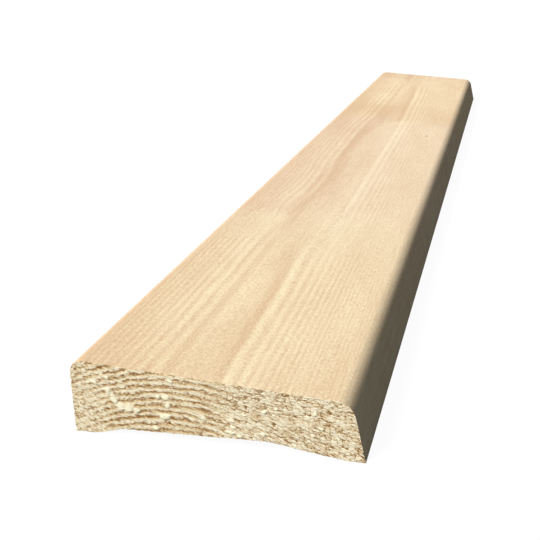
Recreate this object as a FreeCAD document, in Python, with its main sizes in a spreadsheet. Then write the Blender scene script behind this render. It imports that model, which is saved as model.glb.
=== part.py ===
# Architrave moulding: one planed length of softwood trim.
# It lies on its back. The section runs along Y, the thin edge is at +X and the face is up.
# The origin is at the middle of the back, level with the two lands that meet the wall.
import FreeCAD
import Part
import Sketcher
import os

# Driving dimensions, in millimetres and degrees.
SIZES = {
    "length": 475,  # sawn end to sawn end
    "width": 58,  # over both edges
    "thickness": 15,  # over the thick edge
    "face_slope": 3.5,  # fall of the face towards the thin edge, in degrees
    "thick_edge_radius": 2.5,  # round from the thick edge to the face
    "thick_edge_undercut": 2.5,  # lean of the thick edge, inwards at the back, in degrees
    "thin_edge_radius": 4,  # round from the face to the thin edge
    "thin_edge_splay": 13.3,  # lean of the thin edge, outwards at the back, in degrees
    "thick_land": 4.2,  # flat of the back along the thick edge
    "thick_ramp": 5.7,  # run of the slope from that flat into the relief
    "thick_relief": 1.4,  # depth of the relief at the head of that slope
    "thin_land": 3.7,  # flat of the back along the thin edge
    "thin_ramp": 15,  # run of the slope from that flat into the relief
    "thin_relief": 2.15,  # depth of the relief at the head of that slope
}

QUARTER_TURN = FreeCAD.Units.parseQuantity("90 deg").getValueAs("rad").Value
VOLUME_TOLERANCE = 1e-6

# Ends of a sketched line or arc, and the two fixed things that a sketch measures from.
START, END, CENTRE = 1, 2, 3
BACK_PLANE = -1
MIDDLE_OF_BACK = (-1, START)


def make_sheet(doc):
    sheet = doc.addObject("Spreadsheet::Sheet", "sizes")
    for row, (name, value) in enumerate(SIZES.items(), start=1):
        sheet.set(f"A{row}", name)
        sheet.set(f"B{row}", str(value))
        sheet.setAlias(f"B{row}", name)
    doc.recompute()
    return sheet


def plane_of(body, role):
    return next(plane for plane in body.Origin.OriginFeatures if plane.Role == role)


# The outline runs anticlockwise from the toe of the thin edge. It is laid out with upright edges
# and a level face, and its constraints then lean them.
def draw_outline(sketch, sheet):
    right = sheet.width / 2
    left = -right
    thin_round_x = right - sheet.thin_edge_radius
    thin_round_z = sheet.thickness - sheet.thin_edge_radius
    thick_round_x = left + sheet.thick_edge_radius
    thick_round_z = sheet.thickness - sheet.thick_edge_radius
    thick_foot_x = left + sheet.thick_land
    thin_foot_x = right - sheet.thin_land

    def point(x, z):
        return FreeCAD.Vector(x, z, 0)

    def line(start, end):
        return Part.LineSegment(start, end)

    def quarter_round(centre, radius, from_angle):
        circle = Part.Circle(centre, FreeCAD.Vector(0, 0, 1), radius)
        return Part.ArcOfCircle(circle, from_angle, from_angle + QUARTER_TURN)

    toe = point(right, 0)
    heel = point(left, 0)
    thick_foot = point(thick_foot_x, 0)
    thick_head = point(thick_foot_x + sheet.thick_ramp, sheet.thick_relief)
    thin_head = point(thin_foot_x - sheet.thin_ramp, sheet.thin_relief)
    thin_foot = point(thin_foot_x, 0)

    pieces = {
        "thin_edge": line(toe, point(right, thin_round_z)),
        "thin_round": quarter_round(point(thin_round_x, thin_round_z), sheet.thin_edge_radius, 0),
        "face": line(point(thin_round_x, sheet.thickness), point(thick_round_x, sheet.thickness)),
        "thick_round": quarter_round(
            point(thick_round_x, thick_round_z), sheet.thick_edge_radius, QUARTER_TURN
        ),
        "thick_edge": line(point(left, thick_round_z), heel),
        "thick_land": line(heel, thick_foot),
        "thick_ramp": line(thick_foot, thick_head),
        "relief": line(thick_head, thin_head),
        "thin_ramp": line(thin_head, thin_foot),
        "thin_land": line(thin_foot, toe),
    }
    return {name: sketch.addGeometry(piece) for name, piece in pieces.items()}


# Each piece meets the next: smoothly at a round, and at a corner elsewhere.
def join_outline(sketch, number):
    names = list(number)
    for name, following in zip(names, names[1:] + names[:1]):
        smooth = name.endswith("round") or following.endswith("round")
        kind = "Tangent" if smooth else "Coincident"
        sketch.addConstraint(Sketcher.Constraint(kind, number[name], END, number[following], START))
    for land in ("thick_land", "thin_land"):
        for end in (START, END):
            sketch.addConstraint(Sketcher.Constraint("PointOnObject", number[land], end, BACK_PLANE))


# Every size of the outline follows its cell of the sheet.
def size_outline(sketch, number):
    heel = (number["thick_land"], START)
    thick_foot = (number["thick_land"], END)
    thick_head = (number["relief"], START)
    thin_head = (number["relief"], END)
    thin_foot = (number["thin_land"], START)
    toe = (number["thin_land"], END)
    thick_centre = (number["thick_round"], CENTRE)

    def bind(name, formula, *constraint):
        index = sketch.addConstraint(Sketcher.Constraint(*constraint))
        sketch.renameConstraint(index, name)
        sketch.setExpression(f"Constraints.{name}", formula)

    def across(name, formula, start, end):
        distance = sketch.getPoint(*end).x - sketch.getPoint(*start).x
        bind(name, formula, "DistanceX", *start, *end, distance)

    def upwards(name, formula, start, end):
        distance = sketch.getPoint(*end).y - sketch.getPoint(*start).y
        bind(name, formula, "DistanceY", *start, *end, distance)

    def lean(name, formula, piece, upright):
        bind(name, formula, "Angle", number[piece], upright)

    def rounding(name, formula, piece):
        bind(name, formula, "Radius", number[piece], sketch.Geometry[number[piece]].Radius)

    across("toe_place", "sizes.width / 2", MIDDLE_OF_BACK, toe)
    across("thin_land", "sizes.thin_land", thin_foot, toe)
    across("thin_ramp", "sizes.thin_ramp", thin_head, thin_foot)
    upwards("thin_relief", "sizes.thin_relief", thin_foot, thin_head)
    across("thick_land", "sizes.thick_land", heel, thick_foot)
    across("thick_ramp", "sizes.thick_ramp", thick_foot, thick_head)
    upwards("thick_relief", "sizes.thick_relief", thick_foot, thick_head)

    # The round on the thick edge touches the full width and the full thickness.
    across("thick_round_place", "sizes.width / 2 - sizes.thick_edge_radius", thick_centre, MIDDLE_OF_BACK)
    upwards("thick_round_height", "sizes.thickness - sizes.thick_edge_radius", MIDDLE_OF_BACK, thick_centre)
    rounding("thick_edge_radius", "sizes.thick_edge_radius", "thick_round")
    rounding("thin_edge_radius", "sizes.thin_edge_radius", "thin_round")

    # The edges lean from upright and the face from level.
    lean("thin_edge_lean", "(90 + sizes.thin_edge_splay) * 1 deg", "thin_edge", QUARTER_TURN)
    lean("face_lean", "(180 - sizes.face_slope) * 1 deg", "face", 2 * QUARTER_TURN)
    lean("thick_edge_lean", "(sizes.thick_edge_undercut - 90) * 1 deg", "thick_edge", -QUARTER_TURN)


def make_architrave(doc, sheet):
    body = doc.addObject("PartDesign::Body", "architrave")
    body.Label = "architrave"
    body.Placement = FreeCAD.Placement()

    section = body.newObject("Sketcher::SketchObject", "section")
    section.AttachmentSupport = (plane_of(body, "XZ_Plane"), "")
    section.MapMode = "FlatFace"
    number = draw_outline(section, sheet)
    join_outline(section, number)
    size_outline(section, number)
    doc.recompute()

    stock = body.newObject("PartDesign::Pad", "stock")
    stock.Profile = section
    stock.SideType = "Symmetric"
    stock.setExpression("Length", "sizes.length")
    doc.recompute()
    return body, section


def check_architrave(doc, sheet, body, section):
    for item in doc.Objects:
        if "Invalid" in item.State or "Error" in item.State:
            raise RuntimeError(f"{item.Label} did not rebuild: {item.State}")
    if not section.FullyConstrained:
        raise RuntimeError("the section is not fully sized")
    shape = body.Shape
    if shape.isNull() or not shape.isValid() or len(shape.Solids) != 1:
        raise RuntimeError("the moulding is not one valid solid")
    expected = Part.Face(section.Shape.Wires).Area * sheet.length
    if abs(shape.Volume - expected) > VOLUME_TOLERANCE * expected:
        raise RuntimeError("the moulding's volume is not its section times its length")


def main():
    doc = FreeCAD.newDocument("architrave_moulding")
    sheet = make_sheet(doc)
    body, section = make_architrave(doc, sheet)
    check_architrave(doc, sheet, body, section)

    os.makedirs("parts", exist_ok=True)
    body.Shape.exportStep(f"parts/{body.Label}.step")
    box = body.Shape.optimalBoundingBox()
    print(f"{body.Label}: {box.XLength:.3f} x {box.YLength:.3f} x {box.ZLength:.3f} mm")
    print(f"lowest corner {box.XMin:.3f}, {box.YMin:.3f}, {box.ZMin:.3f}")
    print(f"volume {body.Shape.Volume:.1f} mm3")


main()
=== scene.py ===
import bmesh
import bpy
import math
import random
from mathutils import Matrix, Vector, noise


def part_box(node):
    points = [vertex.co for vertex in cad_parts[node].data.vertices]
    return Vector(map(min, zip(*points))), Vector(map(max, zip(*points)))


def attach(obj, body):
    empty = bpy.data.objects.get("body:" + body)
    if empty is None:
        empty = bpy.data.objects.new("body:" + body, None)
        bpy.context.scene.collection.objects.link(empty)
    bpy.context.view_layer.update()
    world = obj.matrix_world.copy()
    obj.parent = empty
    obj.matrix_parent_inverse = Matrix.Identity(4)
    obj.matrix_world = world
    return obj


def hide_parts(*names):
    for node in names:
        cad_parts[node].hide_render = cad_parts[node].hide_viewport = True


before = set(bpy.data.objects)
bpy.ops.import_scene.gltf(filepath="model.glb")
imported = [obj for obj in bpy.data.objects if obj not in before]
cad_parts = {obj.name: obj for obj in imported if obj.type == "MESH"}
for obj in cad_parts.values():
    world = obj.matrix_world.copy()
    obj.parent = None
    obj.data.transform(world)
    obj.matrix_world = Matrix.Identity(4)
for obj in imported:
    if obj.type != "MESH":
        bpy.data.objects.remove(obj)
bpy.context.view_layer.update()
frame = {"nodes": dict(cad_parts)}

mm = 0.001
scene = bpy.context.scene
scene.view_settings.view_transform = "Standard"
print("frame loaded:", ", ".join(frame["nodes"]))


# small helpers for shader trees

def feed(tree, socket, value):
    if isinstance(value, bpy.types.NodeSocket):
        tree.links.new(value, socket)
    else:
        socket.default_value = value


def put(tree, kind, sockets=None, **settings):
    node = tree.nodes.new(kind)
    for name, value in settings.items():
        setattr(node, name, value)
    for name, value in (sockets or {}).items():
        feed(tree, node.inputs[name], value)
    return node


def calc(tree, operation, *values):
    node = put(tree, "ShaderNodeMath", operation=operation)
    for socket, value in zip(node.inputs, values):
        feed(tree, socket, value)
    return node.outputs[0]


def product(tree, first, *others):
    for value in others:
        first = calc(tree, "MULTIPLY", first, value)
    return first


def addTo(tree, total, value, weight):  # total plus a weighted value
    return calc(tree, "MULTIPLY_ADD", value, weight, total)


def around(tree, value, middle=0.5):  # how far a value is over its middle
    return calc(tree, "SUBTRACT", value, middle)


def ease(tree, value, start, end, low=0.0, high=1.0):  # smooth step from low at start to high at end
    node = put(tree, "ShaderNodeMapRange", interpolation_type="SMOOTHSTEP")
    for socket, number in zip(node.inputs, (value, start, end, low, high)):
        feed(tree, socket, number)
    return node.outputs[0]


def between(tree, value, window):  # 1 inside a window with soft edges, 0 outside it
    riseStart, riseEnd, fallStart, fallEnd = window
    rise = ease(tree, value, riseStart, riseEnd)
    fall = ease(tree, value, fallEnd, fallStart)
    return product(tree, rise, fall)


def lineThrough(tree, value, points):  # a smooth line through given points
    starts = [point[0] for point in points]
    results = [point[1] for point in points]
    first, last = starts[0], starts[-1]
    low, high = min(results), max(results)
    share = put(tree, "ShaderNodeMapRange", {"Value": value, "From Min": first, "From Max": last})
    node = put(tree, "ShaderNodeFloatCurve", {"Value": share.outputs[0]})
    curve = node.mapping.curves[0]
    for _ in points[2:]:
        curve.points.new(0.5, 0.5)  # moved to its place below
    for spot, (start, result) in zip(curve.points, points):
        spot.location = ((start - first) / (last - first), (result - low) / (high - low))
    node.mapping.update()
    return calc(tree, "MULTIPLY_ADD", node.outputs[0], high - low, low)


def tint(tree, share, under, over, mode="MIX"):
    node = put(tree, "ShaderNodeMix", data_type="RGBA", blend_type=mode)
    feed(tree, node.inputs[0], share)
    feed(tree, node.inputs[6], under)  # the node's two colours
    feed(tree, node.inputs[7], over)
    return node.outputs[2]


def mixed(tree, share, under, over):  # a number between two others
    return addTo(tree, product(tree, under, calc(tree, "SUBTRACT", 1.0, share)), over, share)


def axes(tree, place):
    return put(tree, "ShaderNodeSeparateXYZ", {"Vector": place}).outputs[:]


def joined(tree, x, y, z):
    return put(tree, "ShaderNodeCombineXYZ", {"X": x, "Y": y, "Z": z}).outputs[0]


def cloud(tree, x, y, z, detail=2.0):  # soft noise, about one swing for each whole step of x, y and z
    place = joined(tree, x, y, z)
    return put(tree, "ShaderNodeTexNoise", {"Vector": place, "Scale": 1.0, "Detail": detail}).outputs[0]


def millimetres(tree):  # the object's own place, in millimetres
    place = put(tree, "ShaderNodeTexCoord").outputs["Object"]
    scaled = put(tree, "ShaderNodeVectorMath", {"Scale": 1 / mm}, operation="SCALE")
    feed(tree, scaled.inputs[0], place)
    return scaled.outputs[0]


def colour(red, green, blue):  # from 0 to 255 as a picture shows it, to the renderer's own scale
    shares = [value / 255 for value in (red, green, blue)]
    return [s / 12.92 if s <= 0.04045 else ((s + 0.055) / 1.055) ** 2.4 for s in shares] + [1.0]


def startGroup(name, inputs, outputs):  # an input without a number takes a place
    tree = bpy.data.node_groups.new(name, "ShaderNodeTree")
    for title, value in inputs.items():
        kind = "NodeSocketVector" if value is None else "NodeSocketFloat"
        socket = tree.interface.new_socket(title, in_out="INPUT", socket_type=kind)
        if value is not None:
            socket.default_value = value
    for title in outputs:
        tree.interface.new_socket(title, in_out="OUTPUT", socket_type="NodeSocketFloat")
    given = tree.nodes.new("NodeGroupInput").outputs
    result = tree.nodes.new("NodeGroupOutput").inputs
    return tree, given, result


def useGroup(tree, group, sockets):
    return put(tree, "ShaderNodeGroup", sockets, node_tree=group).outputs


def newMaterial(name):
    material = bpy.data.materials.new(name)
    material.use_nodes = True
    return material, material.node_tree


def newPiece(name, mesh):
    data = bpy.data.meshes.new(name)
    mesh.to_mesh(data)
    mesh.free()
    piece = bpy.data.objects.new(name, data)
    scene.collection.objects.link(piece)
    return piece


# camera, at the photograph's place

cameraSetup = {  # the place in metres, the lens from the picture's pixels
    "place": (0.0496, -0.40136, 0.09077),
    "lookDown": math.radians(17.969),
    "turn": math.radians(13.324),
    "focalPixels": 998.4,
    "imagePixels": 540,
    "sensor": 36.0,
    "clip": (0.01, 50.0),
}


def makeCamera():
    setup = cameraSetup
    data = bpy.data.cameras.new("camera")
    data.sensor_width = setup["sensor"]
    data.lens = setup["focalPixels"] / setup["imagePixels"] * setup["sensor"]
    data.clip_start, data.clip_end = setup["clip"]
    camera = bpy.data.objects.new("camera", data)
    camera.location = setup["place"]
    camera.rotation_euler = (math.pi / 2 - setup["lookDown"], 0.0, setup["turn"])
    scene.collection.objects.link(camera)
    scene.camera = camera


makeCamera()
print("camera placed")


# the board's section, drawn as four curves that a grid is stretched between

section = {
    "faceSlope": math.radians(3.5),
    "undercut": math.radians(2.5),
    "splay": math.radians(13.3),
    "thickRound": 2.5 * mm,
    "thinRound": 4.0 * mm,
    "thickLand": 4.2 * mm,
    "thickRamp": 5.7 * mm,
    "thickRelief": 1.4 * mm,
    "thinLand": 3.7 * mm,
    "thinRamp": 15.0 * mm,
    "thinRelief": 2.15 * mm,
    "roundSteps": 12,
}


def direction(angle):
    return Vector((math.cos(angle), math.sin(angle)))


def arc(centre, radius, start, end):
    steps = section["roundSteps"]
    return [centre + radius * direction(start + (end - start) * i / steps) for i in range(steps + 1)]


def walkAlong(points):  # a function from a share of the run, 0 to 1, to the point there
    runs = [(b - a).length for a, b in zip(points, points[1:])]
    total = sum(runs)

    def at(share):
        left = share * total
        for start, end, run in zip(points, points[1:], runs):
            if left <= run:
                return start.lerp(end, left / run)
            left -= run
        return points[-1].copy()

    return at


def sectionCurves():
    low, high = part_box("architrave")
    half = (high.x - low.x) / 2
    thickness = high.z - low.z
    faceAngle = math.pi / 2 - section["faceSlope"]
    thickAngle = math.pi + section["undercut"]
    thinAngle = section["splay"]
    faceNormal = direction(faceAngle)
    thinNormal = direction(thinAngle)
    downFace = direction(-section["faceSlope"])

    thickCentre = Vector((section["thickRound"] - half, thickness - section["thickRound"]))
    thickTop = thickCentre + section["thickRound"] * direction(thickAngle)
    heel = thickTop + Vector((math.tan(section["undercut"]), -1.0)) * thickTop.y
    toe = Vector((half, 0.0))
    faceStart = thickCentre + section["thickRound"] * faceNormal
    inner = faceStart - section["thinRound"] * faceNormal
    reach = (toe.dot(thinNormal) - section["thinRound"] - inner.dot(thinNormal)) / downFace.dot(thinNormal)
    thinCentre = inner + reach * downFace

    thickFoot = heel + Vector((section["thickLand"], 0.0))
    thickHead = thickFoot + Vector((section["thickRamp"], section["thickRelief"]))
    thinFoot = toe - Vector((section["thinLand"], 0.0))
    thinHead = thinFoot + Vector((-section["thinRamp"], section["thinRelief"]))

    thickMiddle = (thickAngle + faceAngle) / 2
    thinMiddle = (thinAngle + faceAngle) / 2
    left = [heel] + arc(thickCentre, section["thickRound"], thickAngle, thickMiddle)
    right = [toe] + arc(thinCentre, section["thinRound"], thinAngle, thinMiddle)
    top = arc(thickCentre, section["thickRound"], thickMiddle, faceAngle)
    top += arc(thinCentre, section["thinRound"], faceAngle, thinMiddle)
    bottom = [heel, thickFoot, thickHead, thinHead, thinFoot, toe]
    return [walkAlong(points) for points in (left, right, bottom, top)]


def faceHeight():  # of the face, over the middle of the back
    low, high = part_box("architrave")
    slope, radius = section["faceSlope"], section["thickRound"]
    fall = ((high.x - low.x) / 2 - radius) * math.tan(slope)
    return high.z - low.z - radius + radius / math.cos(slope) - fall


def sectionPoint(curves, across, up):  # the point at these shares of the way between the curves
    left, right, bottom, top = curves
    sides = left(up).lerp(right(up), across)
    rails = bottom(across).lerp(top(across), up)
    corners = bottom(0).lerp(bottom(1), across).lerp(top(0).lerp(top(1), across), up)
    return sides + rails - corners


# the board: a gridded end, drawn out along the length, with torn fibres on both sawn ends

board = {
    "name": "architraveBoard",
    "cellsAcross": 340,
    "cellsUp": 110,
    "cutsAlong": 20,
    "crowding": 2.7,  # how strongly the cuts crowd towards the two ends
    "squareOn": 0.7,  # a face of an end or of the back has a normal that points this far along or down
    "sharpOver": math.radians(40),
}
planedFace, sawnEnd, planedBack = range(3)  # material numbers
endMarks = ("tear", "splinter")  # attributes that the sawn ends' finish reads

tornEnd = {  # lengths in millimetres, places as (x, z) on the end
    "fibres": [  # fall and pace, near the back and near the face
        (math.radians(22), 0.72),
        (math.radians(11), 1.15),
    ],
    "leanChange": (6.2, 7.8),  # heights between which the first gives way to the second
    "paceZone": (-2.5, 12.0),  # along the fibres: the pace holds between these, and is 1 elsewhere
    "bundle": (1.4, 0.4),  # length and width
    "bundleDepth": 0.07,
    # the tear attribute darkens the low fibres and the arris chips: partly browner wood, partly painted shade
    # in the hollows
    "bundleTear": 0.9,  # how strongly its height shows in the tear attribute
    "fineBundle": (0.4, 0.2),
    "fineDepth": 0.03,
    "fineTear": 0.35,
    "plainTear": 0.5,  # the attribute's value on level wood
    "quietEdge": (-25.0, -19.0),  # the fibres lie flatter beyond this, towards the thick edge
    "quietShare": 0.75,
    "nearSeed": 1.3,
    "farSeed": 41.7,
    "fineSeed": 5.0,  # this and the next are added to the end's own seed
    "chipSeed": 9.0,
    "chipSize": 0.8,
    "chipDepth": 0.3,
    "chipStart": 0.08,
    "chipTear": -0.5,
    "splinterHeight": 0.24,
    "splinterFoot": 0.2,  # share of that height at the lowest side
    "splinterWay": Vector((0.58, -0.81)),  # they stand out furthest at this side
    "splinterFill": 1.4,  # over 1, so that the middle is flat
    "splinterBreak": 0.5,  # how far the noise of the fibres breaks a splinter's edge
    "nearSplinters": [  # x, z, half length, half width, fall in degrees
        (-21.3, 9.3, 0.9, 0.6, 60), (-20.2, 7.8, 1.6, 0.8, 55), (-18.9, 6.4, 1.2, 0.95, 40),
        (-17.2, 6.1, 1.4, 0.9, 5), (-15.6, 5.7, 0.8, 0.8, 70), (-9.7, 9.1, 1.1, 0.6, 0),
        (-11.2, 9.1, 0.8, 0.4, 10), (-9.3, 7.5, 0.7, 0.6, 20), (-9.9, 5.1, 1.2, 0.75, 5),
        (-8.7, 12.7, 0.7, 0.55, 40), (-3.9, 6.15, 1.5, 0.24, 16), (-2.4, 5.6, 1.3, 0.26, 14),
        (-21.5, 12.0, 0.7, 0.4, 30), (-24.2, 10.8, 1.0, 0.4, 30), (-11.9, 2.5, 0.7, 0.4, 15),
        (-2.3, 5.7, 0.7, 0.6, 10), (2.9, 3.3, 1.2, 0.45, 10), (3.3, 5.8, 1.0, 0.35, 18),
        (3.7, 4.4, 0.6, 0.35, 15), (4.9, 2.6, 0.6, 0.35, 10), (5.7, 7.2, 0.6, 0.3, 12),
        (9.7, 8.3, 0.6, 0.35, 0), (9.4, 3.6, 0.7, 0.35, 16), (19.4, 9.0, 0.5, 0.3, 80),
        (20.6, 6.0, 0.6, 0.3, 10),
    ],
    "farCount": 16,
    "farDice": 7,
    "farRanges": {  # drawn in this order for each splinter
        "halfLength": (0.4, 1.0),
        "x": (-26, 24),
        "z": (3, 11),
        "widthShare": (0.3, 0.8),
        "fall": (0, 60),
    },
}


def shareBetween(value, start, end):
    return min(max((value - start) / (end - start), 0.0), 1.0)


def farSplinters():
    dice = random.Random(tornEnd["farDice"])
    marks = []
    for _ in range(tornEnd["farCount"]):
        long, x, z, widthShare, fall = [dice.uniform(*limits) for limits in tornEnd["farRanges"].values()]
        marks.append((x, z, long, long * widthShare, fall))
    return marks


def splinterAt(x, z, marks):  # 1 at a splinter's middle to 0 at its rim, and 0 to 1 up its slope
    best, slope = 0.0, 0.0
    way = tornEnd["splinterWay"]
    for markX, markZ, long, short, fall in marks:
        along = direction(-math.radians(fall))
        offset = Vector((x - markX, z - markZ))
        inside = 1 - (offset.dot(along) / long) ** 2 - (offset.cross(along) / short) ** 2
        if inside > best:
            extent = math.hypot(long * along.dot(way), short * along.cross(way))
            best, slope = inside, 0.5 + 0.5 * offset.dot(way) / extent
    return best, slope


def paced(run, pace):  # the place along the fibres, at another pace through the zone
    start, end = tornEnd["paceZone"]
    return run + (pace - 1) * min(max(run - start, 0.0), end - start)


def tornAlong(x, z, lean, pace, seed):  # coarse and fine height of the torn fibres, each about -1 to 1
    along = direction(-lean)
    place = Vector((x, z))
    run = paced(place.dot(along), pace)
    lift = place.cross(along)
    layers = ((tornEnd["bundle"], seed), (tornEnd["fineBundle"], seed + tornEnd["fineSeed"]))
    return [noise.noise(Vector((run / long, lift / short, layer))) for (long, short), layer in layers]


def tornAt(x, z, seed):  # the same, from the fibres near the back to those near the face
    share = shareBetween(z, *tornEnd["leanChange"])
    low, high = [tornAlong(x, z, lean, pace, seed) for lean, pace in tornEnd["fibres"]]
    return [under + share * (over - under) for under, over in zip(low, high)]


def chipArris(vert, outward, seed):  # a small chip, cut in from the end and from the side
    size = tornEnd["chipSize"] * mm
    ragged = noise.noise(Vector((vert.co.x / size, vert.co.z / size, seed + tornEnd["chipSeed"])))
    chip = max(0.0, ragged - tornEnd["chipStart"]) * tornEnd["chipDepth"] * mm
    sides = [face.normal for face in vert.link_faces if face.material_index != sawnEnd]
    vert.co -= sum(sides, Vector()).normalized() * chip
    vert.co.y -= outward * chip
    return tornEnd["chipTear"] * ragged


def liftFibres(vert, outward, marks, seed):  # torn fibre, and the splinters that stand out of it
    x, z = vert.co.x / mm, vert.co.z / mm
    coarse, fine = tornAt(x, z, seed)
    quiet, foot = tornEnd["quietShare"], tornEnd["splinterFoot"]
    share = quiet + (1 - quiet) * shareBetween(x, *tornEnd["quietEdge"])
    inside, slope = splinterAt(x, z, marks)
    broken = inside * tornEnd["splinterFill"] + (coarse + fine) * tornEnd["splinterBreak"]
    lifted = shareBetween(broken, 0.0, 1.0) if inside > 0 else 0.0
    height = share * (coarse * tornEnd["bundleDepth"] + fine * tornEnd["fineDepth"])
    height += lifted * (foot + (1 - foot) * slope) * tornEnd["splinterHeight"]
    vert.co.y += outward * height * mm
    return share * (coarse * tornEnd["bundleTear"] + fine * tornEnd["fineTear"]), lifted


def tearEnds(mesh):
    tear, splinter = [mesh.verts.layers.float[name] for name in endMarks]
    near = (-1, tornEnd["nearSplinters"], tornEnd["nearSeed"])
    far = (1, farSplinters(), tornEnd["farSeed"])
    for vert in mesh.verts:
        kinds = {face.material_index for face in vert.link_faces}
        if sawnEnd not in kinds:
            continue
        outward, marks, seed = near if vert.co.y < 0 else far
        if len(kinds) > 1:  # on the arris
            rough, lifted = chipArris(vert, outward, seed), 0.0
        else:
            rough, lifted = liftFibres(vert, outward, marks, seed)
        vert[tear] = tornEnd["plainTear"] + rough
        vert[splinter] = lifted


def drawStock(mesh):
    low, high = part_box("architrave")
    curves = sectionCurves()
    half = 0.5  # of a grid one wide and one high
    bmesh.ops.create_grid(mesh, x_segments=board["cellsAcross"], y_segments=board["cellsUp"], size=half)
    for vert in mesh.verts:
        point = sectionPoint(curves, vert.co.x + half, vert.co.y + half)
        vert.co = (point.x, low.y, point.y)
    drawn = bmesh.ops.extrude_face_region(mesh, geom=mesh.faces[:])
    farVerts = [item for item in drawn["geom"] if isinstance(item, bmesh.types.BMVert)]
    bmesh.ops.translate(mesh, verts=farVerts, vec=(0.0, high.y - low.y, 0.0))
    lengthwise = [e for e in mesh.edges if abs(e.verts[0].co.y - e.verts[1].co.y) > mm]
    bmesh.ops.subdivide_edges(mesh, edges=lengthwise, cuts=board["cutsAlong"], use_grid_fill=True)
    for vert in mesh.verts:
        fromEnd = 1 - abs(vert.co.y) / high.y
        vert.co.y = math.copysign(high.y * (1 - fromEnd ** board["crowding"]), vert.co.y)
    bmesh.ops.recalc_face_normals(mesh, faces=mesh.faces[:])


def sortFaces(mesh):
    for face in mesh.faces:
        face.smooth = True
        level = planedBack if face.normal.z < -board["squareOn"] else planedFace
        face.material_index = sawnEnd if abs(face.normal.y) > board["squareOn"] else level
    for edge in mesh.edges:
        edge.smooth = edge.calc_face_angle(0.0) < board["sharpOver"]


def makeBoard():
    mesh = bmesh.new()
    for name in endMarks:
        mesh.verts.layers.float.new(name)
    drawStock(mesh)
    sortFaces(mesh)
    tearEnds(mesh)
    return newPiece(board["name"], mesh)


boardPiece = makeBoard()
print("board drawn:", len(boardPiece.data.polygons), "faces")


# growth rings and fibre, shared by the finishes

grain = {  # places in a ring as shares of the way from one dark line to the next
    "palest": 0.4,
    "flank": (0.45, 0.7, 0.92, 1.0),  # the wood that leads up to the dark line
    "fleckRange": (0.28, 0.72),
}


def makeGrowthRings():  # pale early wood of each ring, falling to the dark line where it ends
    inputs = {
        "Across": 0.0, "Depth": 0.0, "Crown": 0.0, "Ring Gap": 1.5, "Left Spread": 50.0, "Right Spread": 50.0,
        "Start": 0.0,
    }
    tree, given, result = startGroup("growthRings", inputs, ("Early", "Flank", "Ring"))
    away = calc(tree, "SUBTRACT", given["Across"], given["Crown"])
    onRight = calc(tree, "GREATER_THAN", away, 0.0)
    more = calc(tree, "SUBTRACT", given["Right Spread"], given["Left Spread"])
    spread = addTo(tree, given["Left Spread"], onRight, more)
    phase = calc(tree, "DIVIDE", product(tree, away, away), spread)
    phase = calc(tree, "ADD", phase, calc(tree, "DIVIDE", given["Depth"], given["Ring Gap"]))
    phase = calc(tree, "ADD", phase, given["Start"])
    share = calc(tree, "FRACT", phase)
    rise, fall = [ease(tree, share, line, grain["palest"]) for line in (0.0, 1.0)]
    number = put(tree, "ShaderNodeTexWhiteNoise", {"W": calc(tree, "FLOOR", phase)}, noise_dimensions="1D")
    feed(tree, result["Early"], calc(tree, "MINIMUM", rise, fall))
    feed(tree, result["Flank"], between(tree, share, grain["flank"]))
    feed(tree, result["Ring"], number.outputs[0])
    return tree


def makeFibreFlecks():  # streaks along Y of the given width and length
    tree, given, result = startGroup("fibreFlecks", {"Place": None, "Width": 0.4, "Length": 4.0}, ("Fleck",))
    sizes = (given["Width"], given["Length"], given["Width"])
    steps = [calc(tree, "DIVIDE", side, size) for side, size in zip(axes(tree, given["Place"]), sizes)]
    feed(tree, result["Fleck"], ease(tree, cloud(tree, *steps), *grain["fleckRange"]))
    return tree


growthRings = makeGrowthRings()
fibreFlecks = makeFibreFlecks()


def ringsAt(tree, across, depth, look, spreads, start):
    left, right = spreads
    return useGroup(tree, growthRings, {
        "Across": across, "Depth": depth, "Crown": look["crown"], "Ring Gap": look["ringGap"],
        "Left Spread": left, "Right Spread": right, "Start": start,
    })


def flecksAt(tree, place, fleck):
    sockets = {"Place": place, "Width": fleck["width"], "Length": fleck["length"]}
    return useGroup(tree, fibreFlecks, sockets)["Fleck"]


def finishWood(tree, look, shade, height):
    shader = tree.nodes["Principled BSDF"]
    feed(tree, shader.inputs["Base Color"], shade)
    shader.inputs["Roughness"].default_value = look["roughness"]
    shader.inputs["Specular IOR Level"].default_value = look["specular"]
    bump = put(tree, "ShaderNodeBump", {"Height": height, "Distance": mm, "Strength": 1.0})
    feed(tree, shader.inputs["Normal"], bump.outputs[0])


# planed faces: a flat-sawn crown with tongues, set in straight fine lines
# a window is given as rise start, rise end, fall start and fall end, and a line as points to go through

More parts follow.
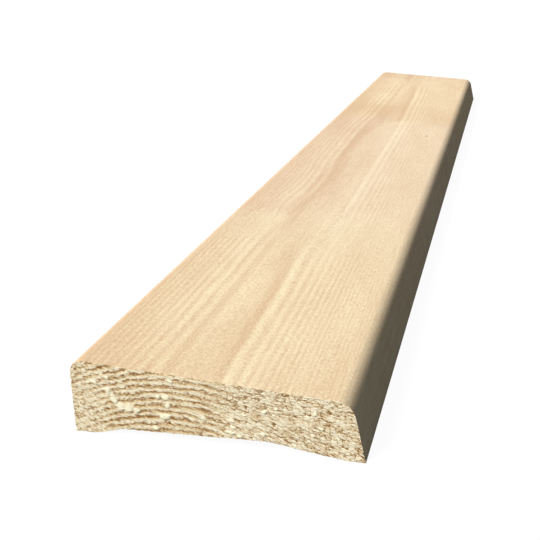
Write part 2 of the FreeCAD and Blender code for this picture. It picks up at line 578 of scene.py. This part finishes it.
planedWood = {  # lengths in millimetres, noise rates for each millimetre, tones from 0, dark, to 1, pale
    "pale": colour(254, 239, 204),
    "dark": colour(220, 187, 150),
    "plain": 0.41,
    "roughness": 0.7,
    "specular": 0.06,
    "backRipple": 2.4,  # length of the planer's waves on the back
    "rippleHeight": 0.01,
    "streak": {"width": 0.4, "length": 9.0, "tone": 0.18, "height": 0.01},
    "speckle": {"width": 0.5, "length": 1.1, "tone": 0.5, "height": 0.005},

    "repeat": 332.0,  # the figure starts again after this length
    "repeatFrom": 204.0,
    "fibreRate": 0.7,
    "fibreStray": 50.0,  # how raggedly the figure changes from fibre to fibre
    "wavyStretch": (-121.0, -113.0, 55.0, 70.0),

    "crown": -3.9,
    "ringGap": 1.45,
    "leftSpreads": (54.0, 54.0),
    "leftStart": -0.746,
    "leftFrom": (-7.4, -8.9),
    "rightSpreads": (1e6, 43.0),  # level to the left of the crown
    "rightShift": 0.65,
    "rightShiftFade": (0.36, 0.24),
    "wanderRate": (0.05, 0.022),
    "wander": (1.0, 1.6),  # outside and inside the wavy stretch
    "lineShift": [
        (-240, 0), (-121, 0), (-104, -0.2), (-75, 1.1), (-45, 0.1), (-15, -0.8), (10, -0.9), (45, -0.9),
        (62, -0.5), (80, 0), (210, 0),
    ],
    "lineMiddle": 0.55,
    "lineStrength": [
        (-29, 0.22), (-21, 0.22), (-17, 0.27), (-9, 0.3), (-6, 0.14), (-2.5, 0.16), (0, 0.46), (2, 0.34),
        (6, 0.28), (12, 0.22), (18, 0.16), (29, 0.14),
    ],
    "quietStrip": (-4.0, -3.0, 1.5, 2.5),
    "quietShare": 0.2,

    "tongueTop": 192.0,  # from here on, places along a tongue are shares of the repeat
    "tipStretch": (0.0, 0.03, 0.06, 0.15),
    "tipShift": -0.16,
    "tipFadeAcross": (0.0, 2.5),
    "tipFade": (0.03, 0.1),
    "rootFade": (0.95, 0.86),
    "faintest": 0.3,
    "softStretch": (0.35, 0.6),
    "softShare": 0.85,
    "tongueEdge": [
        (0, -4.4), (0.03, -3.4), (0.08, -1.1), (0.15, 0.0), (0.22, 0.4), (0.3, 0.6), (0.4, 0.8), (1, 0.8),
    ],
    "tongueShade": {"inside": (-0.4, 0.1, 1.8, 3.2), "along": (0.01, 0.04, 0.13, 0.22), "tone": -0.09},
    "tongueSide": {"across": (-9.5, -8.3, -6.5, -4.8), "along": (0.0, 0.03, 0.12, 0.25), "tone": 0.13},

    # tone across the face; the drop at the thick edge, below x -25, is painted shade on the thick round,
    # which the key lamp lights more strongly than the face
    "toneAcross": [
        (-29, -0.42), (-27.2, -0.32), (-25.5, -0.17), (-21, -0.1), (-17, 0.0), (-10, -0.03), (-3, -0.04),
        (3, 0.13), (10, 0.09), (29, 0.01),
    ],
    "toneAlong": [
        (-238, -0.05), (-200, -0.01), (-160, 0.02), (-120, 0.03), (-60, -0.01), (0, -0.02), (40, 0.0),
        (85, -0.15), (115, -0.07), (150, -0.02), (200, -0.02), (222, -0.09), (238, -0.09),
    ],
    "nearPart": (-250.0, -175.0, -121.0, -113.0),  # straight lines before and beyond the wavy stretch
    "farPart": (85.0, 158.0),
    "straightTone": [
        (-29, 0.02), (-25, 0.03), (-22, 0.08), (-18, 0.08), (-16.6, 0.13), (-14.2, 0.13), (-13.0, 0.05),
        (-10.5, 0.05), (-8, 0.0), (29, 0.0),
    ],
    "thickSide": (-18.0, -21.0),
    "thickSideAlong": [
        (-240, 0.0), (-80, 0.0), (-50, 0.1), (-10, 0.1), (20, -0.06), (60, -0.1), (90, -0.12), (120, -0.07),
        (160, -0.03), (190, 0.0), (240, 0.0),
    ],
    "mottle": 0.5,
    "mottleRate": (0.11, 0.022),
    "mottleLayer": 3.7,

    "thinEdge": (0.5, 0.1),  # distances in from the thin edge
    "thinRound": (3.2, 2.2),
    # painted light: the thin round is painted paler and warmer, so that it stays bright further round before
    # it falls into shade
    "roundPaintedLight": 0.25,
    "roundLightWarmth": (1.02, 0.985, 0.965, 1.0),  # this and the other casts multiply the colour
    # painted shade and light along the thin edge: paler at the near end and darker towards the far end, to
    # even out the gloss its grazing view shows
    "edgeShadeTone": [
        (-238, 0.5), (-205, 0.32), (-184, 0.24), (-138, 0.1), (-92, 0.08), (-46, -0.03), (0, -0.02),
        (46, -0.17), (92, -0.12), (138, -0.27), (184, -0.34), (238, -0.35),
    ],
    "edgeMottle": 0.5,
    "edgeMottleRate": (0.09, 0.3),
    "edgeCool": (0.9, 1.0, 1.0, 1.0),
    "edgeCoolAlong": (-150.0, 200.0),
    "warmth": (1.0, 0.985, 0.945, 1.0),
    "warmNear": (-70.0, -200.0),
    "warmFar": (50.0, 80.0),
    "wavyPink": (1.0, 0.985, 1.0, 1.0),
    "speck": colour(203, 150, 97),
    "speckRim": (1.3, 0.2),
    "speckDepth": (-0.5, -0.2),
    "specks": [  # x, y, half width, half length, strength
        (16.6, 32.5, 0.9, 2.8, 0.45), (2.2, -177.0, 0.3, 0.7, 0.6), (-18.5, -170.0, 0.3, 0.8, 0.45),
        (9.6, -218.0, 0.3, 0.6, 0.5),
    ],
}

faceStains = {  # marks on the planed face: windows or lines across and along, and the tone they add
    "paleLine": {
        "across": (-14.5, -14.1, -13.7, -13.3),
        "along": (-250.0, -175.0, -170.0, -145.0),
        "tone": 0.16,
    },
    "darkLine": {"across": (-12.9, -12.0, -11.2, -10.2), "along": (52.0, 34.0), "tone": -0.18},
    "darkBand": {
        "middle": [
            (-140, -10.0), (-104, -9.7), (-75, -8.3), (-45, -8.3), (-15, -9.9), (10, -10.0), (30, -9.3),
            (46, -7.7), (57, -7.2), (72, -7.1), (110, -6.9),
        ],
        "across": (2.9, 0.5),  # distances from its middle
        "along": [
            (-240, 0), (-140, 0), (-120, 0.9), (-98, 0.9), (-75, 0.65), (-48, 1.15), (-15, 1.05), (30, 1),
            (60, 1.1), (90, 0.95), (125, 0), (240, 0),
        ],
        "tone": -0.22,
    },
    "arch": {
        "outline": [
            (-29, 10), (-9.5, 22), (-5.5, 38), (-4, 44), (-2.5, 53), (0.5, 63), (4.5, 66), (29, 67),
        ],
        "over": (-3.0, 3.0),  # distances over the outline
        "across": (-14.0, -8.0, 0.5, 4.5),
        "along": (125.0, 72.0),
        "tone": -0.1,
    },
    "archRim": {"over": (-16.0, -6.0, -2.0, 0.0), "across": (-3.0, -0.5, 4.5, 6.0), "tone": 0.1},
    "paleStrip": {
        "across": (2.4, 3.1, 5.2, 6.4),
        "along": [
            (-140, 0), (-115, 0), (-100, 0.3), (-75, 0.9), (-48, 0.3), (-15, 0.7), (20, 1), (52, 1), (64, 0),
            (80, 0), (240, 0),
        ],
        "tone": 0.12,
    },
    "dullPatch": {"across": (-4.5, -1.5, 1.5, 2.5), "along": (-75.0, -50.0, -30.0, 20.0), "tone": -0.13},
    "wavyShade": {"across": (-7.5, -9.5), "tone": -0.08},
}


def ringTone(tree, x, y, depth, wavy):  # straight lines on the left, tongues and close lines on the right
    look = planedWood
    rateX, rateY = look["wanderRate"]
    slow = cloud(tree, product(tree, x, rateX), product(tree, y, rateY), 0.0, 1.0)
    moved = addTo(tree, x, around(tree, slow), mixed(tree, wavy, *look["wander"]))
    moved = calc(tree, "SUBTRACT", moved, lineThrough(tree, y, look["lineShift"]))
    left = ringsAt(tree, moved, depth, look, look["leftSpreads"], look["leftStart"])

    tongue = calc(tree, "DIVIDE", calc(tree, "SUBTRACT", look["tongueTop"], y), look["repeat"])
    within = calc(tree, "FRACT", tongue)  # 0 at a tongue's tip to 1 at its root
    tongueStart = calc(tree, "ADD", calc(tree, "FLOOR", tongue), calc(tree, "SQRT", within))
    tongueStart = addTo(tree, tongueStart, between(tree, within, look["tipStretch"]), look["tipShift"])
    shifted = addTo(tree, x, ease(tree, within, *look["rightShiftFade"]), look["rightShift"])
    ringStart = product(tree, tongueStart, -1.0)
    right = ringsAt(tree, shifted, depth, look, look["rightSpreads"], ringStart)

    early = mixed(tree, ease(tree, x, *look["leftFrom"]), right["Early"], left["Early"])
    quiet = product(tree, wavy, between(tree, x, look["quietStrip"]))
    strength = lineThrough(tree, x, look["lineStrength"])
    strength = product(tree, strength, ease(tree, quiet, 0.0, 1.0, 1.0, look["quietShare"]))
    tipFade = ease(tree, within, 0.0, ease(tree, x, *look["tipFadeAcross"], *look["tipFade"]))
    fade = calc(tree, "MINIMUM", tipFade, ease(tree, within, *look["rootFade"]))
    clear = mixed(tree, fade, look["faintest"], 1.0)
    clear = product(tree, clear, ease(tree, within, *look["softStretch"], 1.0, look["softShare"]))
    lines = product(tree, around(tree, early, look["lineMiddle"]), strength, clear)

    shade, side = look["tongueShade"], look["tongueSide"]
    fromTongue = calc(tree, "SUBTRACT", lineThrough(tree, within, look["tongueEdge"]), x)
    shaded = product(tree, between(tree, fromTongue, shade["inside"]), between(tree, within, shade["along"]))
    beside = product(tree, between(tree, x, side["across"]), between(tree, within, side["along"]))
    return addTo(tree, addTo(tree, lines, shaded, shade["tone"]), beside, side["tone"])


def stainTone(tree, x, y, raggedY, wavy):  # slow changes of tone over the face
    look = planedWood
    farPart = ease(tree, y, *look["farPart"])
    straight = calc(tree, "MAXIMUM", farPart, between(tree, raggedY, look["nearPart"]))
    # the tone across includes painted shade on the thick round
    tone = lineThrough(tree, x, look["toneAcross"])
    tone = addTo(tree, tone, lineThrough(tree, x, look["straightTone"]), straight)
    tone = addTo(tree, tone, lineThrough(tree, y, look["thickSideAlong"]), ease(tree, x, *look["thickSide"]))

    pale, dark, band, arch, rim, strip, dull, shade = faceStains.values()
    fromBand = calc(tree, "ABSOLUTE", calc(tree, "SUBTRACT", x, lineThrough(tree, y, band["middle"])))
    overArch = calc(tree, "SUBTRACT", y, lineThrough(tree, x, arch["outline"]))
    paleAlong = calc(tree, "MAXIMUM", farPart, between(tree, y, pale["along"]))
    archAlong = product(tree, ease(tree, overArch, *arch["over"]), ease(tree, y, *arch["along"]))
    darkAlong = product(tree, wavy, ease(tree, y, *dark["along"]))
    stains = [
        (pale, between(tree, x, pale["across"]), paleAlong),
        (dark, between(tree, x, dark["across"]), darkAlong),
        (band, ease(tree, fromBand, *band["across"]), lineThrough(tree, y, band["along"])),
        (arch, between(tree, x, arch["across"]), archAlong),
        (rim, between(tree, x, rim["across"]), between(tree, overArch, rim["over"])),
        (strip, between(tree, x, strip["across"]), lineThrough(tree, y, strip["along"])),
        (dull, between(tree, x, dull["across"]), between(tree, y, dull["along"])),
        (shade, ease(tree, x, *shade["across"]), wavy),
    ]
    for stain, across, along in stains:
        tone = addTo(tree, tone, product(tree, across, along), stain["tone"])
    rateX, rateY = look["mottleRate"]
    mottle = cloud(tree, product(tree, x, rateX), product(tree, y, rateY), look["mottleLayer"])
    return addTo(tree, tone, around(tree, mottle), look["mottle"])


def speckMark(tree, x, y, speck):  # 1 in the middle of a small dark speck, 0 outside it
    speckX, speckY, halfWidth, halfLength = speck
    offX = calc(tree, "DIVIDE", calc(tree, "SUBTRACT", x, speckX), halfWidth)
    offY = calc(tree, "DIVIDE", calc(tree, "SUBTRACT", y, speckY), halfLength)
    reach = calc(tree, "ADD", product(tree, offX, offX), product(tree, offY, offY))
    return ease(tree, reach, *planedWood["speckRim"])


def makePlanedWood(name, ripple=0.0):
    look = planedWood
    material, tree = newMaterial(name)
    place = millimetres(tree)
    x, y, z = axes(tree, place)
    depth = addTo(tree, z, x, math.tan(section["faceSlope"]))
    depth = calc(tree, "SUBTRACT", depth, faceHeight() / mm)  # 0 on the face, less below it
    fibre = cloud(tree, product(tree, x, look["fibreRate"]), 0.0, product(tree, z, look["fibreRate"]))
    strayY = addTo(tree, y, around(tree, fibre), look["fibreStray"])
    again = calc(tree, "GREATER_THAN", strayY, look["repeatFrom"])
    figureY, raggedY = [addTo(tree, along, again, -look["repeat"]) for along in (y, strayY)]
    wavy = between(tree, raggedY, look["wavyStretch"])
    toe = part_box("architrave")[1].x / mm
    fromEdge = calc(tree, "SUBTRACT", toe, addTo(tree, x, z, math.tan(section["splay"])))
    onEdge = ease(tree, fromEdge, *look["thinEdge"])
    onRound = ease(tree, fromEdge, *look["thinRound"])
    streak = flecksAt(tree, place, look["streak"])
    slanted = joined(tree, calc(tree, "ADD", x, y), calc(tree, "SUBTRACT", x, y), z)
    speckle = flecksAt(tree, slanted, look["speckle"])

    # the thin edge's tone: painted shade along its length, with a mottle
    rateY, rateZ = look["edgeMottleRate"]
    blotch = cloud(tree, 0.0, product(tree, y, rateY), product(tree, z, rateZ))
    edgeShadeTone = addTo(tree, lineThrough(tree, y, look["edgeShadeTone"]), around(tree, blotch), look["edgeMottle"])
    tone = calc(tree, "ADD", look["plain"], ringTone(tree, x, figureY, depth, wavy))
    tone = calc(tree, "ADD", tone, stainTone(tree, x, figureY, raggedY, wavy))
    tone = calc(tree, "ADD", tone, lineThrough(tree, y, look["toneAlong"]))
    # adds the thin round's painted light, and on the thin edge its painted shade along the length
    tone = calc(tree, "ADD", tone, mixed(tree, onEdge, product(tree, onRound, look["roundPaintedLight"]), edgeShadeTone))
    tone = addTo(tree, tone, around(tree, streak), look["streak"]["tone"])
    tone = addTo(tree, tone, around(tree, speckle), look["speckle"]["tone"])

    shade = tint(tree, tone, look["dark"], look["pale"])
    warm = calc(tree, "MAXIMUM", ease(tree, y, *look["warmNear"]), ease(tree, y, *look["warmFar"]))
    # painted light on the thin round: its share of the warmer cast
    paintedRoundLight = product(tree, onRound, calc(tree, "SUBTRACT", 1.0, onEdge))
    cool = product(tree, onEdge, ease(tree, y, *look["edgeCoolAlong"]))
    casts = ((warm, "warmth"), (wavy, "wavyPink"), (paintedRoundLight, "roundLightWarmth"), (cool, "edgeCool"))
    for share, cast in casts:
        shade = tint(tree, share, shade, look[cast], "MULTIPLY")
    onFace = ease(tree, depth, *look["speckDepth"])
    for *speck, strength in look["specks"]:
        mark = product(tree, speckMark(tree, x, y, speck), onFace, strength)
        shade = tint(tree, mark, shade, look["speck"])

    height = product(tree, streak, look["streak"]["height"])
    height = addTo(tree, height, speckle, look["speckle"]["height"])
    if ripple:
        wave = calc(tree, "SINE", product(tree, y, 2 * math.pi / ripple))
        height = addTo(tree, height, wave, look["rippleHeight"])
    finishWood(tree, look, shade, height)
    return material


# sawn ends: ring lines broken by torn fibre

sawnWood = {  # lengths in millimetres, noise rates for each millimetre
    "pit": colour(144, 101, 50),
    "plain": colour(232, 209, 167),
    "tip": colour(255, 245, 216),
    # painted highlight on the palest chips, and the pale colour of the splinters
    "splinterPaleAndGlint": colour(255, 248, 215),
    "pitToPlain": (0.02, 0.55),  # tones between which one colour gives way to the next
    "plainToTip": (0.5, 1.0),
    "flankWarmth": (1.0, 0.92, 0.8, 1.0),
    "roughness": 0.85,
    "specular": 0.15,

    "fleck": {"width": 0.3, "length": 1.4},
    "fine": {"width": 0.17, "length": 0.4, "height": 0.04},
    "chip": {"width": 0.46, "length": 1.1, "height": 0.025},
    "chipStray": 0.35,  # how far the flecks break the chips' outlines
    "chipRate": 0.2,  # of change along the board
    # the cracks are also painted darker by the crack weights in tones: painted shade between the chips
    "crack": (0.16, 0.02),  # distances from a chip's rim
    "crackHeight": -0.03,
    # where the chips are painted with a glint: pale chips and fine flecks, away from the cracks
    "glintChip": (0.6, 0.9),
    "glintFine": (0.45, 0.9),
    "glintCrack": (0.5, 0.0),
    "tuftFine": (0.1, 0.6),
    "tuftLeast": 0.8,

    "crown": -7.9,
    "ringGap": 1.3,
    "spreads": (108.0, 108.0),
    "start": -0.86,
    "wander": 1.2,  # how far the rings stray
    "wanderRate": (0.22, 0.35),
    "chipWander": 0.35,
    "fineWander": 0.25,
    "ringStrength": 0.7,
    "ringSwing": (0.8, 1.2),  # from ring to ring
    "ringShare": [
        (-29, 0.3), (-26, 0.42), (-23, 0.7), (-20, 1.0), (-10, 1.0), (-2.5, 1.0), (1, 0.5), (5, 0.1),
        (29, 0.05),
    ],
    "cornerRings": (-30.0, -27.0, -22.0, -19.0),  # the rings reach the thick edge here, near the face
    "cornerHeight": (8.0, 11.0),
    "cornerShare": 0.4,

    "toneAcross": [
        (-29, 0.62), (-23, 0.62), (-20, 0.52), (-2, 0.52), (2, 0.64), (9, 0.64), (16, 0.57), (29, 0.57),
    ],
    "nearFace": (7.5, 9.5),
    "toneNearFace": [
        (-29, -0.04), (-24, -0.03), (-20, 0.01), (-16, 0.06), (-3, 0.06), (1, -0.06), (4, -0.1), (8, -0.09),
        (13, -0.01), (18, 0.05), (29, -0.04),
    ],
    "ringZone": (-24.0, -20.0, -1.0, 5.0),
    "tones": {  # middle of each effect, and its weight outside and inside the ring zone
        # darker where the torn fibres lie low and paler where they stand high: partly the browner torn wood,
        # partly painted shade in the hollows
        "tear": (0.5, 0.4, 0.3),
        "chip": (0.4, 0.5, 0.2),
        # painted shade: darker in the cracks between the chips
        "crack": (0.35, -0.48, -0.35),
        "fleck": (0.5, 0.4, 0.25),
        "fine": (0.5, 0.45, 0.65),
    },
}


def attributeOf(tree, name):
    return put(tree, "ShaderNodeAttribute", attribute_name=name).outputs["Fac"]


def tornFibre(tree, x, y, z, lean, pace):  # flecks, fine flecks, chips and the cracks between them
    look = sawnWood
    cosine, sine = math.cos(lean), math.sin(lean)
    run = addTo(tree, product(tree, x, cosine), z, -sine)
    start, end = tornEnd["paceZone"]  # paced as the mesh is
    held = calc(tree, "MAXIMUM", calc(tree, "SUBTRACT", run, start), 0.0)
    run = addTo(tree, run, calc(tree, "MINIMUM", held, end - start), pace - 1)
    lift = addTo(tree, product(tree, x, sine), z, cosine)
    leaning = joined(tree, lift, run, y)
    fleck, fine = [flecksAt(tree, leaning, look[name]) for name in ("fleck", "fine")]
    chipRun = addTo(tree, product(tree, run, 1 / look["chip"]["length"]), fine, look["chipStray"])
    chipLift = addTo(tree, product(tree, lift, 1 / look["chip"]["width"]), fleck, look["chipStray"])
    chipPlace = joined(tree, chipRun, chipLift, product(tree, y, look["chipRate"]))
    sockets = {"Vector": chipPlace, "Scale": 1.0}
    chips = put(tree, "ShaderNodeTexVoronoi", sockets, feature="F1")
    chip = put(tree, "ShaderNodeSeparateColor", {"Color": chips.outputs["Color"]}).outputs[0]
    rims = put(tree, "ShaderNodeTexVoronoi", sockets, feature="DISTANCE_TO_EDGE")
    crack = ease(tree, rims.outputs["Distance"], *look["crack"])
    return fleck, fine, chip, crack


def makeSawnWood(name):
    look = sawnWood
    material, tree = newMaterial(name)
    x, y, z = axes(tree, millimetres(tree))
    tear, splinter = [attributeOf(tree, mark) for mark in endMarks]
    nearFace = ease(tree, z, *tornEnd["leanChange"])
    low, high = [tornFibre(tree, x, y, z, lean, pace) for lean, pace in tornEnd["fibres"]]
    fleck, fine, chip, crack = [mixed(tree, nearFace, under, over) for under, over in zip(low, high)]

    rateX, rateZ = look["wanderRate"]
    stray = cloud(tree, product(tree, x, rateX), 0.0, product(tree, z, rateZ), 1.0)
    ragged = addTo(tree, z, around(tree, chip), look["chipWander"])
    ragged = addTo(tree, ragged, around(tree, fine), look["fineWander"])
    ragged = addTo(tree, ragged, around(tree, stray), look["wander"])
    ring = ringsAt(tree, x, ragged, look, look["spreads"], look["start"])
    corner = product(tree, between(tree, x, look["cornerRings"]), ease(tree, z, *look["cornerHeight"]))
    ringShare = addTo(tree, lineThrough(tree, x, look["ringShare"]), corner, look["cornerShare"])
    swing = ease(tree, ring["Ring"], 0.0, 1.0, *look["ringSwing"])
    ringWeight = product(tree, swing, look["ringStrength"], ringShare)

    tone = lineThrough(tree, x, look["toneAcross"])
    inZone = between(tree, x, look["ringZone"])
    effects = {"tear": tear, "chip": chip, "crack": crack, "fleck": fleck, "fine": fine}
    for effect, (middle, outside, inside) in look["tones"].items():
        weight = mixed(tree, inZone, outside, inside)
        tone = addTo(tree, tone, around(tree, effects[effect], middle), weight)
    tone = addTo(tree, tone, around(tree, ring["Early"]), ringWeight)
    tone = addTo(tree, tone, lineThrough(tree, x, look["toneNearFace"]), ease(tree, z, *look["nearFace"]))

    shade = tint(tree, ease(tree, tone, *look["pitToPlain"]), look["pit"], look["plain"])
    shade = tint(tree, ease(tree, tone, *look["plainToTip"]), shade, look["tip"])
    shade = tint(tree, product(tree, ring["Flank"], ringShare), shade, look["flankWarmth"], "MULTIPLY")
    # painted glint: the palest chips, away from the cracks, are painted near white as if they caught the
    # light; the splinters take the same pale colour
    glintFibre = product(tree, ease(tree, chip, *look["glintChip"]), ease(tree, fine, *look["glintFine"]))
    paintedGlint = product(tree, glintFibre, ease(tree, crack, *look["glintCrack"]))
    tuft = product(tree, splinter, ease(tree, fine, *look["tuftFine"], look["tuftLeast"]))
    shade = tint(tree, calc(tree, "MAXIMUM", tuft, paintedGlint), shade, look["splinterPaleAndGlint"])

    height = product(tree, fine, look["fine"]["height"])
    height = addTo(tree, height, chip, look["chip"]["height"])
    height = addTo(tree, height, crack, look["crackHeight"])
    finishWood(tree, look, shade, height)
    return material


boardPiece.data.materials.append(makePlanedWood("planedFace"))
boardPiece.data.materials.append(makeSawnWood("sawnEnd"))
boardPiece.data.materials.append(makePlanedWood("planedBack", planedWood["backRipple"]))
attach(boardPiece, "root")
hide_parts("architrave")
print("board finished")


# floor and light

studio = {
    "floorSize": 12.0,
    "floorDrop": 0.05 * mm,
    "floorGlow": 0.955,
    "floorShade": (0.065, 0.065, 0.065, 1.0),
    "floorBounce": (0.06, 0.06, 0.06, 1.0),
    "skyLight": 0.1,
    "skyTint": (0.94, 1.01, 1.07, 1.0),
    "skySeen": (1.0, 1.0, 1.0, 1.0),
    "keyFrom": (-0.46, -0.62, 0.64),
    "keyStrength": 4.4,
    "backFrom": (-0.25, 0.85, 0.35),
    "backStrength": 0.7,
    "softness": math.radians(20),
}


def seenRay(tree):  # rays that show the backdrop itself, straight or by reflection
    path = put(tree, "ShaderNodeLightPath")
    glossy = calc(tree, "MAXIMUM", path.outputs["Is Camera Ray"], path.outputs["Is Glossy Ray"])
    return calc(tree, "MAXIMUM", glossy, path.outputs["Is Transmission Ray"])


def makePaleFloor():
    material, tree = newMaterial("paleFloor")
    tree.nodes.clear()
    pale = put(tree, "ShaderNodeEmission", {"Strength": studio["floorGlow"]})
    shaded = put(tree, "ShaderNodeBsdfDiffuse", {"Color": studio["floorShade"]})
    lit = put(tree, "ShaderNodeAddShader")
    tree.links.new(pale.outputs[0], lit.inputs[0])
    tree.links.new(shaded.outputs[0], lit.inputs[1])
    bounce = put(tree, "ShaderNodeBsdfDiffuse", {"Color": studio["floorBounce"]})
    chosen = put(tree, "ShaderNodeMixShader", {"Fac": seenRay(tree)})
    tree.links.new(bounce.outputs[0], chosen.inputs[1])
    tree.links.new(lit.outputs[0], chosen.inputs[2])
    put(tree, "ShaderNodeOutputMaterial", {"Surface": chosen.outputs[0]})
    return material


def makeFloor():
    mesh = bmesh.new()
    bmesh.ops.create_grid(mesh, x_segments=1, y_segments=1, size=studio["floorSize"] / 2)
    floor = newPiece("floor", mesh)
    floor.location.z = -studio["floorDrop"]
    floor.data.materials.append(makePaleFloor())


def makeSky():
    world = bpy.data.worlds.new("studio")
    scene.world = world
    world.use_nodes = True
    tree = world.node_tree
    background = tree.nodes["Background"]
    seen = seenRay(tree)
    feed(tree, background.inputs["Color"], tint(tree, seen, studio["skyTint"], studio["skySeen"]))
    feed(tree, background.inputs["Strength"], ease(tree, seen, 0.0, 1.0, studio["skyLight"], 1.0))


def makeSun(name, towards, strength):
    data = bpy.data.lights.new(name, "SUN")
    data.energy = strength
    data.angle = studio["softness"]
    sun = bpy.data.objects.new(name, data)
    sun.rotation_euler = Vector(towards).to_track_quat("Z", "Y").to_euler()
    scene.collection.objects.link(sun)


makeFloor()
makeSky()
makeSun("key", studio["keyFrom"], studio["keyStrength"])
makeSun("back", studio["backFrom"], studio["backStrength"])
print("floor and light set")
